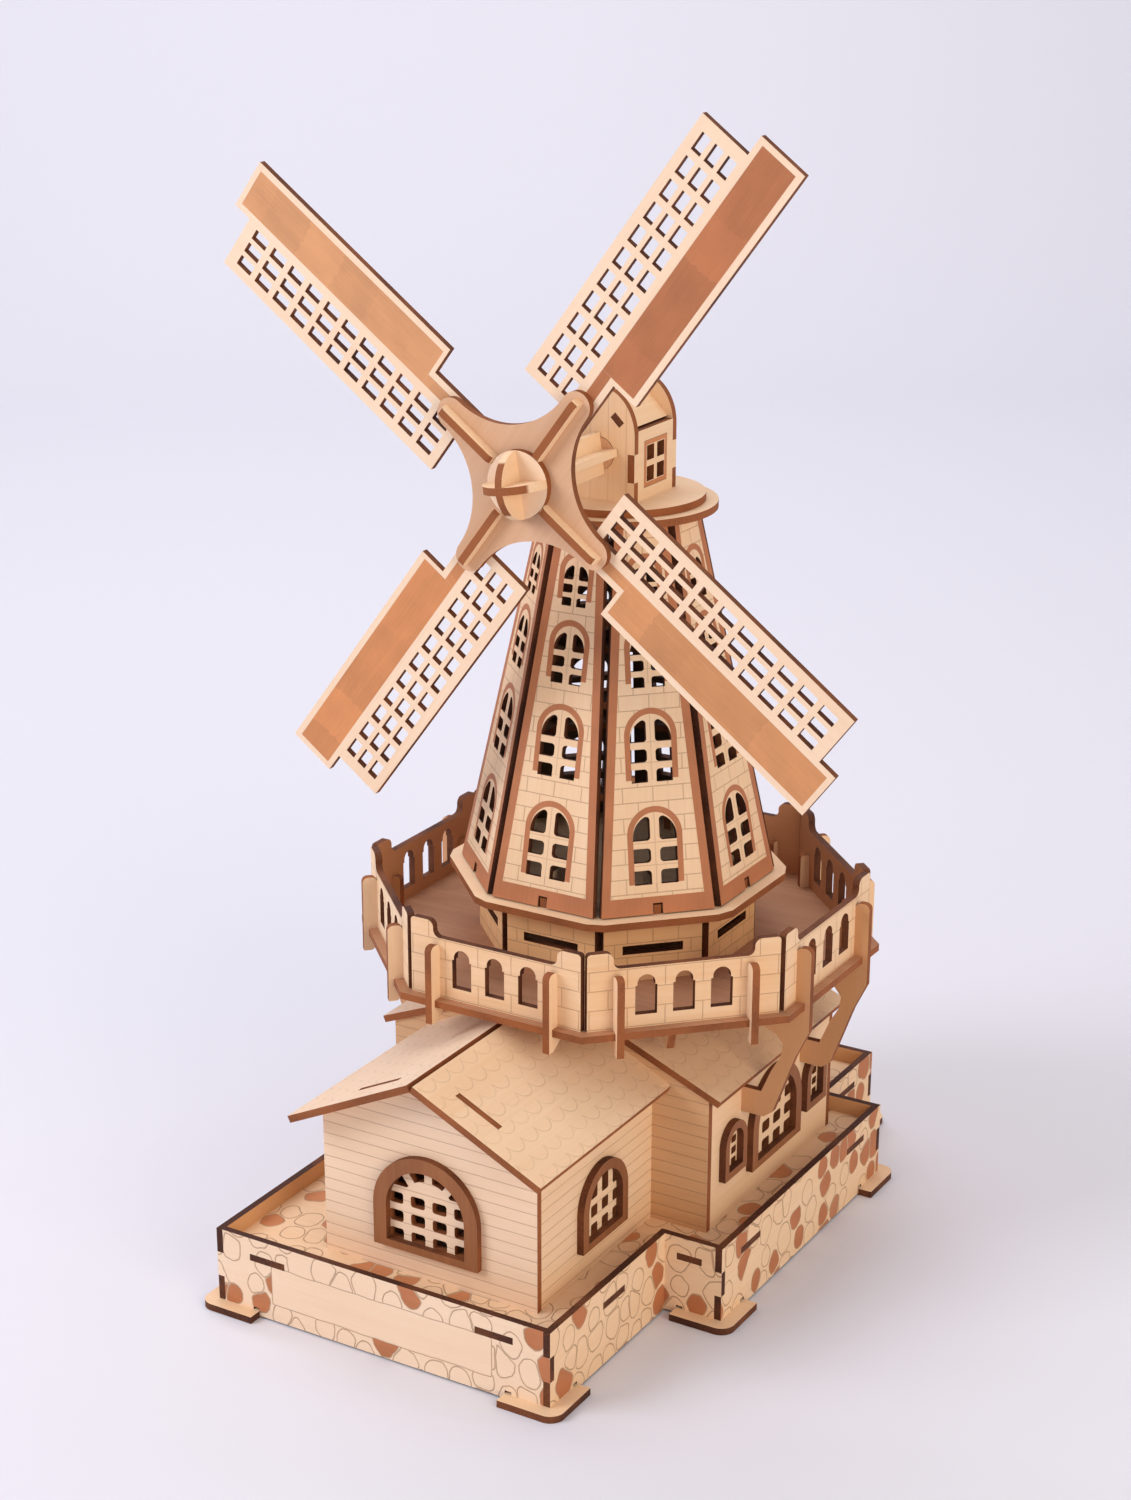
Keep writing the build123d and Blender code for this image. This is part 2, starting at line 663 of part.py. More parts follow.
toe_top = ledge_top + notch_height - 0.4
foot_rib_face = outline((foot_rib_inner, ledge_top), (tower_apothem - 1.2, ledge_top),
                        (tower_apothem - 1.2, toe_top), (tower_inside(toe_top), toe_top),
                        (tower_inside(ledge_top + foot_rib_height), ledge_top + foot_rib_height),
                        (foot_rib_inner, ledge_top + foot_rib_height))
foot_rib = extrude(radial_plane * foot_rib_face, amount=ply / 2, both=True).solid()
save("tower_foot_ribs", *ring_of(foot_rib, range(0, 360, 45)))

top_disc_face = Circle(top_disc_radius) - Circle(pivot_radius + turn_clearance)
save("tower_top_disc", flat(top_disc_face, tower_top + ply))


# ============================ cap ============================

save("cap_base_disc", flat(Circle(cap_disc_radius) - Circle(pivot_radius), cap_bottom))
retainer_top = tower_top - turn_play
save("cap_pivot_retainer", flat(Circle(retainer_radius) - Circle(pivot_radius), retainer_top))
save("cap_pivot_pin", flat(Circle(pivot_radius), cap_bottom, cap_bottom - retainer_top + ply))

root2 = sqrt(2)
roof_inner_apex = cap_bottom + cap_roof_rise - ply * root2
cap_spring = cap_bottom + cap_spring_rise
cap_tab_low, cap_tab_high = (cap_bottom + rise for rise in cap_tab)


def cap_roof_plane(side):
    """Plane on a roof sheet's inner face; x runs down the slope from the ridge."""
    return Plane(origin=(0, 0, roof_inner_apex), x_dir=(side / root2, 0, -1 / root2),
                 z_dir=(side / root2, 0, 1 / root2))


end_face = box_face(-cap_half, cap_bottom, cap_half, cap_spring)
crown = Pos(0, cap_spring) * Ellipse(cap_half, cap_crown_rise - cap_spring_rise)
end_face += crown & box_face(-cap_half, cap_spring - 1, cap_half, cap_bottom + cap_crown_rise)
for side in (-1, 1):
    a, b = sorted((side * (cap_half - ply), side * (cap_half + 1)))
    end_face -= box_face(a, cap_tab_low, b, cap_tab_high)
    middle = (cap_roof_tab_start + cap_roof_tab / 2, ply / 2)
    x = side * (middle[0] + middle[1]) / root2
    z = roof_inner_apex + (middle[1] - middle[0]) / root2
    end_face -= Pos(x, z) * (Rot(0, 0, -45 * side) * Rectangle(cap_roof_tab, ply))
end_face -= Pos(0, hub_height) * Circle(journal_radius + turn_clearance)
save("cap_front_wall", sheet(outward(0, cap_depth_half), end_face))
save("cap_back_wall", sheet(outward(180, cap_depth_half), end_face))

side_length = cap_depth_half - ply
cap_side_face = box_face(-side_length, cap_bottom, side_length, cap_bottom + cap_side_rise)
cap_side_face += box_face(-cap_depth_half, cap_tab_low, cap_depth_half, cap_tab_high)
pane_width, pane_height = cap_pane
for i in (-1, 1):
    for j in (0, 1):
        pane_z = cap_bottom + cap_pane_sill + pane_height / 2 + j * (pane_height + cap_pane_bar)
        cap_side_face -= Pos(i * (cap_pane_bar + pane_width) / 2, pane_z) * Rectangle(pane_width, pane_height)
save("cap_side_walls", *[sheet(outward(a, cap_half), cap_side_face) for a in (90, 270)])

cap_roof_length = cap_roof_edge * root2 - ply
roofs = []
for side in (-1, 1):
    sheet_face = box_face(0, -side_length, cap_roof_length, side_length)
    sheet_face += box_face(cap_roof_tab_start, -cap_depth_half,
                           cap_roof_tab_start + cap_roof_tab, cap_depth_half)
    roofs.append(extrude(cap_roof_plane(side) * sheet_face, amount=ply).solid())
save("cap_roof_panels", *roofs)


# ============================ rotor ============================

def facing(face, front, thickness=ply):
    """Plate in the rotor's plane, its front face at y = front."""
    plane = Plane(origin=(0, front, hub_height), x_dir=(1, 0, 0), z_dir=(0, -1, 0))
    return extrude(plane * face, amount=-thickness).solid()


def sail_face_outline():
    """One sail along +x: solid board on the clockwise side, lattice on the other."""
    face = box_face(solid_root, -solid_edge, sail_tip, spine_edge)
    face += box_face(lattice_root, -arm_half, lattice_tip, lattice_edge)
    face += box_face(arm_root, -arm_half, lattice_root + 1, arm_half)
    length, width = lattice_hole
    for row in range(lattice_rows):
        for column in range(lattice_columns):
            x = lattice_first[0] + row * lattice_pitch[0]
            y = lattice_first[1] + column * lattice_pitch[1]
            face -= Pos(x, y) * Rectangle(length, width)
    return face - box_face(rib_slot[0], -ply / 2, rib_slot[1], ply / 2)


sail = facing(sail_face_outline(), sail_face)
spin = Axis((0, 0, hub_height), (0, -1, 0))
for i, word in enumerate(("one", "two", "three", "four")):
    save(f"sail_{word}", sail.rotate(spin, sail_turn + 90 * i))


def polar(radius, angle, offset=0.0):
    a = radians(angle)
    return (radius * cos(a) - offset * sin(a), radius * sin(a) + offset * cos(a))


def cross_slot(half):
    """Slot for the crossed shaft plates, on the diagonals between the arms."""
    bar = Rectangle(2 * half, ply)
    return Rot(0, 0, sail_turn + 45) * bar + Rot(0, 0, sail_turn - 45) * bar


hub_edges = []
for i in range(4):
    arm = sail_turn + 90 * i
    hub_edges.append(ThreePointArc(polar(hub_reach, arm, -arm_half), polar(hub_reach + arm_half, arm),
                                   polar(hub_reach, arm, arm_half)))
    hub_edges.append(ThreePointArc(polar(hub_reach, arm, arm_half), polar(hub_waist, arm + 45),
                                   polar(hub_reach, arm + 90, -arm_half)))
hub_face = make_face(hub_edges) - cross_slot(shaft_half)
rib_hole = Pos((rib_slot[0] + rib_slot[1]) / 2, 0) * Rectangle(rib_slot[1] - rib_slot[0], ply)
for i in range(4):
    hub_face -= Rot(0, 0, sail_turn + 90 * i) * rib_hole
save("hub_plate", facing(hub_face, hub_front))
save("hub_back_disc", facing(Circle(hub_back_radius) - cross_slot(shaft_half), sail_face + ply))
save("nose_disc", facing(Circle(hub_nose_radius) - cross_slot(shaft_half), hub_front - ply))

# ribs along the arms: proud in front, tenon through the hub plate and the sail
rib_side = box_face(rib_start, 0, rib_end, rib_proud)
rib_side = fillet([v for v in rib_side.vertices() if v.Y > 1], 2.6)
rib_side += box_face(rib_slot[0], -2 * ply, rib_slot[1], 1)
ribs = []
for i in range(4):
    a = radians(sail_turn + 90 * i)
    plane = Plane(origin=(0, hub_front, hub_height), x_dir=(cos(a), 0, sin(a)), z_dir=(-sin(a), 0, cos(a)))
    forward = 1 if plane.y_dir.Y < 0 else -1
    profile = rib_side if forward == 1 else mirror(rib_side, Plane.XZ)
    ribs.append(extrude(plane * profile, amount=ply / 2, both=True).solid())
save("hub_ribs", *ribs)

# shaft: two long plates crossing at right angles, half-round at the nose
nose_line = -(hub_front - ply)
shoulder = cap_depth_half + turn_play
tail = shoulder + ply + shaft_end_proud
lap = (nose_line - tail) / 2


def shaft_plate(slot_front):
    """Shaft plate in (across, -y): local y is forward from the tower axis."""
    face = box_face(-shaft_half, shoulder, shaft_half, nose_line)
    face += box_face(-journal_half, -tail, journal_half, shoulder)
    nose = Pos(0, nose_line) * Circle(hub_nose_radius)
    face += nose & box_face(-hub_nose_radius, nose_line, hub_nose_radius, nose_line + hub_nose_radius)
    if slot_front:
        return face - box_face(-ply / 2, lap, ply / 2, nose_line + hub_nose_radius + 1)
    return face - box_face(-ply / 2, -tail - 1, ply / 2, lap)


def crossing(face, turn):
    a = radians(turn)
    plane = Plane(origin=(0, 0, hub_height), x_dir=(cos(a), 0, sin(a)), z_dir=(-sin(a), 0, cos(a)))
    if plane.y_dir.Y > 0:
        face = mirror(face, Plane.XZ)
    return extrude(plane * face, amount=ply / 2, both=True).solid()


save("shaft_plate_level", crossing(shaft_plate(False), sail_turn + 45))
save("shaft_plate_upright", crossing(shaft_plate(True), sail_turn + 135))

journal_face = Circle(journal_radius) - cross_slot(journal_half)
save("shaft_journals", facing(journal_face, -shoulder), facing(journal_face, shoulder - ply))
save("shaft_end_disc", facing(Circle(end_disc_radius) - cross_slot(journal_half), shoulder))
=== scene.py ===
import json
import math

import bpy
from mathutils import Matrix, Vector


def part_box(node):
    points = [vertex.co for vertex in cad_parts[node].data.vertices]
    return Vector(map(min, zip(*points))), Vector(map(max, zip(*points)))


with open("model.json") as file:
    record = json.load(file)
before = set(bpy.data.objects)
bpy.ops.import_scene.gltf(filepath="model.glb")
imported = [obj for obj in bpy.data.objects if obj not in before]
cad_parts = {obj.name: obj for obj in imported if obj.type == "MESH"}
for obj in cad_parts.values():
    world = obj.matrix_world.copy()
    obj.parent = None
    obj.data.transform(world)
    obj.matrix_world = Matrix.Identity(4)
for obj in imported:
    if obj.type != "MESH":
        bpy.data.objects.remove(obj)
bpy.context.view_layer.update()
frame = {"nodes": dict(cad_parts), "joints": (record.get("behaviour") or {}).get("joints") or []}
nodes = frame["nodes"]

# ---- places read from the frame, in millimetres ----
MM = 1000.0


def span(node, axis):
    low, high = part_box(node)
    return low[axis] * MM, high[axis] * MM


base_x = span("front_wing_front_wall", 0)
base_middle = sum(base_x) / 2
deck_top = span("deck_plate", 2)[1]
floor_top = span("balcony_floor", 2)[1]
ledge_top = span("tower_ledge", 2)[1]
cap_floor = span("cap_base_disc", 2)[1]
hub = [joint for joint in frame["joints"] if joint["name"] == "sails_spin"][0]
hub_z = hub["pos_m"][2] * MM

# ---- sizes of the engravings, in millimetres ----
PLATE_U = (base_middle - 51.0, base_middle + 52.0)
PLATE_V = (8.0, 25.0)
PLATE_CORNER = 1.0
PEBBLE = 10.5
TOWER_HALF = 23.37                  # half the width of a tower panel at its foot
TOWER_TAPER = 0.0849                # what a panel loses on each side for each unit up
TOWER_BAND = 3.5                    # stained band along a panel's sides
TOWER_FOOT = 7.55                   # stained band along its foot
TOWER_WINDOWS = ((9.0, 12.6, 28.0), (8.4, 53.4, 25.4), (6.8, 90.8, 20.6), (5.4, 121.4, 16.4))
SASH_ROWS = (0.26, 0.575)           # heights of the sash lines, in shares of a window
SURROUND = 2.3                      # stained band round a tower window
SAIL_BOARD = (55.8, 158.2, -14.9, 1.0)
SAIL_ARM = (30.0, 55.8, -3.4, 1.0)
CAP_WINDOW_MIDDLE = cap_floor + 13.8
CAP_BAND = (9.1, 9.2)               # half width and half height of the cap window's band
CAP_PANE = (7.3, 7.4)

# ---- fall of each roof for each unit out from its ridge ----
MAIN_SLOPE = 0.414
HOUSE_SLOPE = 0.486
CAP_SLOPE = 1.0

# ---- tones, linear colour ----
PALE = (0.86, 0.635, 0.425)
BLOND = (0.79, 0.525, 0.31)
# painted light: a rosier copy of the blond wood, for faces that the key light falls on
KEY_LIT_ROSE_PALE = (0.88, 0.68, 0.50)
KEY_LIT_ROSE = (0.82, 0.585, 0.40)
HONEY = (0.60, 0.315, 0.135)
RUSSET = (0.40, 0.145, 0.052)
ENGRAVED = (0.52, 0.200, 0.080)     # laser-stained fields
LINE = (0.33, 0.19, 0.105)          # engraved lines
BURNT = (0.31, 0.098, 0.030)        # a cut edge at its lightest
CHAR = (0.055, 0.015, 0.006)        # and at its darkest
# painted shade: a near-black tone for faces and parts inside the model, where shade falls
INSIDE_SHADE = (0.075, 0.026, 0.011)


class Shade:
    """One material's node tree. Numbers and sockets mix freely in its calls."""

    def __init__(self, name):
        self.material = bpy.data.materials.new(name)
        self.material.use_nodes = True
        self.tree = self.material.node_tree
        self.tree.nodes.clear()
        place = self.tree.nodes.new("ShaderNodeTexCoord")
        self.point = self.vector("SCALE", place.outputs["Object"], scale=MM)
        self.normal = place.outputs["Normal"]

    def link(self, socket, value):
        if isinstance(value, bpy.types.NodeSocket):
            self.tree.links.new(value, socket)
        elif isinstance(value, tuple) and len(value) == 3 and len(socket.default_value) == 4:
            socket.default_value = (*value, 1)
        else:
            socket.default_value = value

    def math(self, operation, *values, clamp=False):
        node = self.tree.nodes.new("ShaderNodeMath")
        node.operation, node.use_clamp = operation, clamp
        for socket, value in zip(node.inputs, values):
            self.link(socket, value)
        return node.outputs[0]

    def vector(self, operation, *values, scale=None):
        node = self.tree.nodes.new("ShaderNodeVectorMath")
        node.operation = operation
        for socket, value in zip(node.inputs, values):
            self.link(socket, value)
        if scale is not None:
            self.link(node.inputs["Scale"], scale)
        return node.outputs["Value" if operation in ("DOT_PRODUCT", "LENGTH") else "Vector"]

    def split(self, vector):
        node = self.tree.nodes.new("ShaderNodeSeparateXYZ")
        self.link(node.inputs[0], vector)
        return node.outputs[0], node.outputs[1], node.outputs[2]

    def join(self, x=0.0, y=0.0, z=0.0):
        node = self.tree.nodes.new("ShaderNodeCombineXYZ")
        for socket, value in zip(node.inputs, (x, y, z)):
            self.link(socket, value)
        return node.outputs[0]

    def add(self, a, b):
        return self.math("ADD", a, b)

    def sub(self, a, b):
        return self.math("SUBTRACT", a, b)

    def mul(self, a, b):
        return self.math("MULTIPLY", a, b)

    def both(self, *masks):
        result = masks[0]
        for mask in masks[1:]:
            result = self.mul(result, mask)
        return result

    def either(self, *masks):
        result = masks[0]
        for mask in masks[1:]:
            result = self.math("MAXIMUM", result, mask)
        return result

    def no(self, mask):
        return self.sub(1.0, mask)

    def rise(self, value, start, end):
        """0 below start and 1 above end, smooth between; start may be the larger."""
        node = self.tree.nodes.new("ShaderNodeMapRange")
        node.interpolation_type = "SMOOTHSTEP"
        self.link(node.inputs["Value"], value)
        low, high = (0.0, 1.0) if start < end else (1.0, 0.0)
        start, end = min(start, end), max(start, end)
        ends = (("From Min", start), ("From Max", end), ("To Min", low), ("To Max", high))
        for name, number in ends:
            node.inputs[name].default_value = number
        return node.outputs[0]

    def inside(self, value, low, high, soft=0.12):
        """1 between low and high."""
        above = self.rise(value, low - soft, low + soft)
        below = self.rise(value, high + soft, high - soft)
        return self.both(above, below)

    def thin(self, distance, width=0.22, soft=0.16):
        """A line where distance is near zero."""
        return self.rise(self.math("ABSOLUTE", distance), width + soft, width - soft)

    def repeat(self, value, pitch, offset=0.0):
        """Signed distance to the nearest multiple of pitch, and which multiple."""
        scaled = self.math("DIVIDE", self.sub(value, offset), pitch)
        number = self.math("ROUND", scaled)
        return self.mul(self.sub(scaled, number), pitch), number

    def noise(self, vector, scale=1.0, detail=2.0, rough=0.5):
        node = self.tree.nodes.new("ShaderNodeTexNoise")
        self.link(node.inputs["Vector"], vector)
        node.inputs["Scale"].default_value = scale
        node.inputs["Detail"].default_value = detail
        node.inputs["Roughness"].default_value = rough
        return node.outputs[0]

    def noise_colour(self, vector, scale):
        node = self.tree.nodes.new("ShaderNodeTexNoise")
        self.link(node.inputs["Vector"], vector)
        node.inputs["Scale"].default_value = scale
        return self.vector("SUBTRACT", node.outputs[1], (0.5, 0.5, 0.5))

    def random(self, value, seed=0.0):
        """A number from 0 to 1 for each value."""
        node = self.tree.nodes.new("ShaderNodeTexWhiteNoise")
        node.noise_dimensions = "2D"
        self.link(node.inputs["Vector"], self.join(value, seed))
        return node.outputs["Value"]

    def cells(self, vector, scale, feature, chance=1.0):
        node = self.tree.nodes.new("ShaderNodeTexVoronoi")
        node.voronoi_dimensions, node.feature = "2D", feature
        self.link(node.inputs["Vector"], vector)
        node.inputs["Scale"].default_value = scale
        node.inputs["Randomness"].default_value = chance
        return node

    def mix(self, share, a, b):
        node = self.tree.nodes.new("ShaderNodeMix")
        node.data_type = "RGBA"
        for name, value in (("Factor_Float", share), ("A_Color", a), ("B_Color", b)):
            socket = [s for s in node.inputs if s.identifier == name][0]
            self.link(socket, value)
        return [s for s in node.outputs if s.identifier == "Result_Color"][0]


# ---- sheet frames: each gives u along the sheet, v across it, how far the surface faces
# out of the sheet's show side, and a number that tells the sheet from its neighbours ----

def facing_y(s):
    x, y, z = s.split(s.point)
    out = s.mul(s.split(s.normal)[1], s.math("SIGN", y))
    return x, z, out, s.math("SIGN", y)


def facing_x(s):
    x, y, z = s.split(s.point)
    side = s.math("SIGN", s.sub(x, base_middle))
    return y, z, s.mul(s.split(s.normal)[0], side), side


def facing_up(s):
    x, y, z = s.split(s.point)
    return x, y, s.split(s.normal)[2], 0.0


def facing_slope(slope):
    """Roof panels that fall by `slope` for each unit out from the ridge."""
    length = math.hypot(1, slope)

    def place(s):
        x, y, z = s.split(s.point)
        nx, ny, nz = s.split(s.normal)
        side = s.math("SIGN", x)
        out = s.add(s.mul(s.mul(nx, side), slope / length), s.mul(nz, 1 / length))
        return y, s.mul(s.math("ABSOLUTE", x), length), out, side
    return place


def sector(s):
    """Which eighth of the turn round the tower a point is in, and its sine and cosine."""
    x, y, z = s.split(s.point)
    turn = s.math("ARCTAN2", x, s.mul(y, -1.0))
    number = s.math("ROUND", s.math("DIVIDE", turn, math.pi / 4))
    angle = s.mul(number, math.pi / 4)
    return number, s.math("SINE", angle), s.math("COSINE", angle)


def facing_ring(s):
    """Panels of the octagon."""
    x, y, z = s.split(s.point)
    nx, ny, nz = s.split(s.normal)
    number, sine, cosine = sector(s)
    along = s.add(s.mul(x, cosine), s.mul(y, sine))
    out = s.sub(s.mul(nx, sine), s.mul(ny, cosine))
    return along, z, out, number


def across_ring(s):
    """Brackets and ribs that stand out from the octagon."""
    x, y, z = s.split(s.point)
    nx, ny, nz = s.split(s.normal)
    number, sine, cosine = sector(s)
    along = s.add(s.mul(x, cosine), s.mul(y, sine))
    reach = s.sub(s.mul(x, sine), s.mul(y, cosine))
    out = s.math("ABSOLUTE", s.add(s.mul(nx, cosine), s.mul(ny, sine)))
    return z, reach, out, s.add(s.mul(number, 2.0), s.math("SIGN", along))


def facing_rotor(turn):
    """Along and across an arm at this angle in the rotor's plane."""
    def place(s):
        x, y, z = s.split(s.point)
        height = s.sub(z, hub_z)
        a = math.radians(turn)
        along = s.add(s.mul(x, math.cos(a)), s.mul(height, math.sin(a)))
        across = s.sub(s.mul(height, math.cos(a)), s.mul(x, math.sin(a)))
        return along, across, s.mul(s.split(s.normal)[1], -1.0), turn
    return place


def edge_on_rotor(turns):
    """Sheets standing out of the rotor's plane, their faces along one of these angles."""
    def place(s):
        x, y, z = s.split(s.point)
        nx, ny, nz = s.split(s.normal)
        out = 0.0
        for turn in turns:
            a = math.radians(turn)
            flat = s.math("ABSOLUTE", s.add(s.mul(nx, math.cos(a)), s.mul(nz, math.sin(a))))
            out = s.either(out, flat)
        return y, s.add(x, z), out, 0.0
    return place


# ---- engravings: each gives the masks of its lines and of its stained fields, or None ----

def siding(pitch, offset):
    def draw(s, u, v, seed):
        distance, number = s.repeat(v, pitch, offset)
        wobble = s.mul(s.sub(s.noise(s.join(s.mul(u, 0.03), number), 1.0), 0.5), 0.5)
        return s.mul(s.thin(s.add(distance, wobble), 0.14, 0.18), 0.75), None
    return draw


def bricks(width, height, offset):
    def draw(s, u, v, seed):
        distance, row = s.repeat(s.sub(v, height / 2), height, offset)
        shift = s.mul(s.math("MODULO", s.math("ABSOLUTE", row), 2.0), width / 2)
        joint, _ = s.repeat(s.add(u, shift), width)
        line, _ = s.repeat(v, height, offset)
        lines = s.either(s.thin(line, 0.15, 0.17), s.thin(joint, 0.15, 0.17))
        return s.mul(lines, 0.8), None
    return draw


def planks(width, length):
    def draw(s, u, v, seed):
        line, row = s.repeat(v, width)
        joint, _ = s.repeat(s.add(u, s.mul(s.random(row, 2.0), length)), length)
        return s.mul(s.either(s.thin(line, 0.16), s.thin(joint, 0.16)), 0.7), None
    return draw


def shingles(width, height):
    """Rows of round-ended shingles, each row half a shingle along from the last."""
    def draw(s, u, v, seed):
        lines = 0.0
        radius = width / 2
        for odd in (0, 1):
            across, number = s.repeat(u, width, odd * radius)
            down = s.math("MODULO", s.add(s.sub(v, odd * height), 20 * height), 2 * height)
            low = s.sub(down, 2 * height - radius)
            bow = s.sub(s.vector("LENGTH", s.join(across, low)), radius - 0.2)
            curve = s.both(s.thin(bow, 0.14, 0.2), s.rise(low, -0.6, 0.9))
            row = s.math("FLOOR", s.math("DIVIDE", s.sub(v, odd * height), 2 * height))
            weight = s.add(s.mul(s.random(s.add(number, s.mul(row, 17.0)), 4.0 + odd), 0.5), 0.5)
            lines = s.either(lines, s.mul(curve, weight))
        return s.mul(lines, 0.55), None
    return draw


def pebbles(s, u, v, seed):
    """Rounded stones of mixed sizes, each an outline, and two in five stained."""
    bend = s.vector("SCALE", s.noise_colour(s.join(u, v, seed), 0.13), scale=2.6)
    place = s.vector("ADD", s.join(u, s.mul(v, 0.86), 0.0), bend)
    place = s.vector("ADD", place, s.join(s.mul(seed, 37.0), 11.0, 0.0))
    edges = s.cells(place, 1 / PEBBLE, "DISTANCE_TO_EDGE", 0.85)
    rim = s.mul(edges.outputs["Distance"], PEBBLE)
    nearest = s.cells(place, 1 / PEBBLE, "F1", 0.85)
    centre = s.mul(nearest.outputs["Distance"], PEBBLE)
    tone, share, other = s.split(nearest.outputs["Color"])
    reach = s.add(s.mul(other, 2.4), 4.2)
    stone = s.math("SMOOTH_MIN", s.sub(rim, 0.25), s.sub(reach, centre), 2.2)
    present = s.rise(tone, 0.08, 0.09)
    lines = s.both(s.thin(stone, 0.20, 0.20), present)
    fill = s.both(s.rise(stone, -0.1, 0.35), s.rise(share, 0.60, 0.61), present)
    return lines, fill


def nameplate(s, u, v, seed):
    """The pebbles with a plain outlined board among them."""
    lines, fill = pebbles(s, u, v, seed)
    wobble = s.mul(s.sub(s.noise(s.join(u, v, 3.0), 0.09), 0.5), 1.6)
    middle_u, middle_v = sum(PLATE_U) / 2, sum(PLATE_V) / 2
    half_u = (PLATE_U[1] - PLATE_U[0]) / 2 - PLATE_CORNER
    half_v = (PLATE_V[1] - PLATE_V[0]) / 2 - PLATE_CORNER
    du = s.sub(s.math("ABSOLUTE", s.sub(u, middle_u)), half_u)
    dv = s.sub(s.math("ABSOLUTE", s.sub(s.add(v, wobble), middle_v)), half_v)
    corner = s.vector("LENGTH", s.join(s.math("MAXIMUM", du, 0.0), s.math("MAXIMUM", dv, 0.0)))
    board = s.sub(s.add(corner, s.math("MINIMUM", s.either(du, dv), 0.0)), PLATE_CORNER)
    outer = s.rise(board, 0.0, 0.2)
    lines = s.either(s.both(lines, outer), s.thin(board, 0.16, 0.18))
    return lines, s.both(fill, outer)


def tower_windows(s, u, up):
    """The bands round a tower panel's windows, their sash lines, and windows with bands."""
    band, sash, near = 0.0, 0.0, 0.0
    for half, sill, height in TOWER_WINDOWS:
        spring = sill + height - half
        above = s.math("MAXIMUM", s.sub(up, spring), 0.0)
        radial = s.sub(s.vector("LENGTH", s.join(u, above)), half)
        over_sill = s.rise(up, sill - 0.2, sill + 0.2)
        under_crown = s.rise(up, sill + height + 3.0, sill + height + 2.5)
        reach = s.both(s.inside(radial, -30.0, SURROUND), over_sill, under_crown)
        opening = s.both(s.rise(radial, 0.05, -0.15), over_sill, under_crown)
        near = s.either(near, reach)
        band = s.either(band, s.both(reach, s.no(opening)))
        cross = s.thin(u, 0.12, 0.15)
        for share in SASH_ROWS:
            cross = s.either(cross, s.thin(s.sub(up, sill + share * height), 0.12, 0.15))
        sash = s.either(sash, s.both(cross, opening))
    return band, sash, near


def tower_face(s, u, v, seed):
    up = s.sub(v, ledge_top)
    edge = s.sub(TOWER_HALF, s.mul(up, TOWER_TAPER))
    from_edge = s.sub(edge, s.math("ABSOLUTE", u))
    sides = s.rise(from_edge, TOWER_BAND + 0.15, TOWER_BAND - 0.15)
    foot = s.rise(up, TOWER_FOOT + 0.15, TOWER_FOOT - 0.15)
    band, sash, near = tower_windows(s, u, up)
    lines, _ = bricks(12.4, 5.95, ledge_top + 9.0)(s, u, v, seed)
    fill = s.either(sides, foot, band)
    lines = s.both(lines, s.no(fill), s.no(near))
    return s.either(lines, s.mul(sash, 0.6)), fill


def sail_face(s, u, v, seed):
    """The stained board along a sail's arm, and the bare arm between it and the hub."""
    fields = []
    for low_u, high_u, low_v, high_v in (SAIL_BOARD, SAIL_ARM):
        fields.append(s.both(s.inside(u, low_u, high_u), s.inside(v, low_v, high_v)))
    return None, s.either(*fields)


def cap_side(s, u, v, seed):
    """A stained band with an outline round the cap's side window."""
    from_middle_u = s.math("ABSOLUTE", u)
    from_middle_v = s.math("ABSOLUTE", s.sub(v, CAP_WINDOW_MIDDLE))
    outer = s.either(s.sub(from_middle_u, CAP_BAND[0]), s.sub(from_middle_v, CAP_BAND[1]))
    inner = s.either(s.sub(from_middle_u, CAP_PANE[0]), s.sub(from_middle_v, CAP_PANE[1]))
    band = s.both(s.rise(outer, 0.1, -0.1), s.rise(inner, -0.1, 0.1))
    return s.thin(outer, 0.12, 0.16), band


def cap_end(s, u, v, seed):
    line, _ = s.repeat(u, 8.0, 4.0)
    return s.mul(s.thin(line, 0.12, 0.16), 0.5), None


# ---- the wood itself ----

STAIN_SWING = 0.4                   # how far the stain of a sail's board varies along it


def stain(s, u, v, along, across, sheet_seed, seed, swing, fill_tone):
    """The tone of a stained field: clouds, streaks along the grain, and patches of stain."""
    bend = s.noise(s.join(s.mul(v, 0.25), 4.0, 0.0), 1.0, 1.0)
    number = s.repeat(s.add(u, s.mul(s.sub(bend, 0.5), 6.0)), 19.0, 5.0)[1]
    patch = s.mul(s.sub(s.random(number, seed + 3.0), 0.5), swing)
    cloud = s.noise(s.join(s.mul(u, 0.06), s.mul(v, 0.10), sheet_seed), 1.0, 3.0)
    streak = s.noise(s.join(s.mul(along, 0.05), s.mul(across, 1.6), sheet_seed), 1.0, 3.0)
    burn = s.add(s.add(s.mul(s.sub(cloud, 0.5), 0.9), s.mul(s.sub(streak, 0.5), 0.5)), patch)
    darker = tuple(c * 0.78 for c in fill_tone)
    lighter = tuple(c * 1.28 for c in fill_tone)
    return s.mix(s.math("ADD", burn, 0.5, clamp=True), darker, lighter)


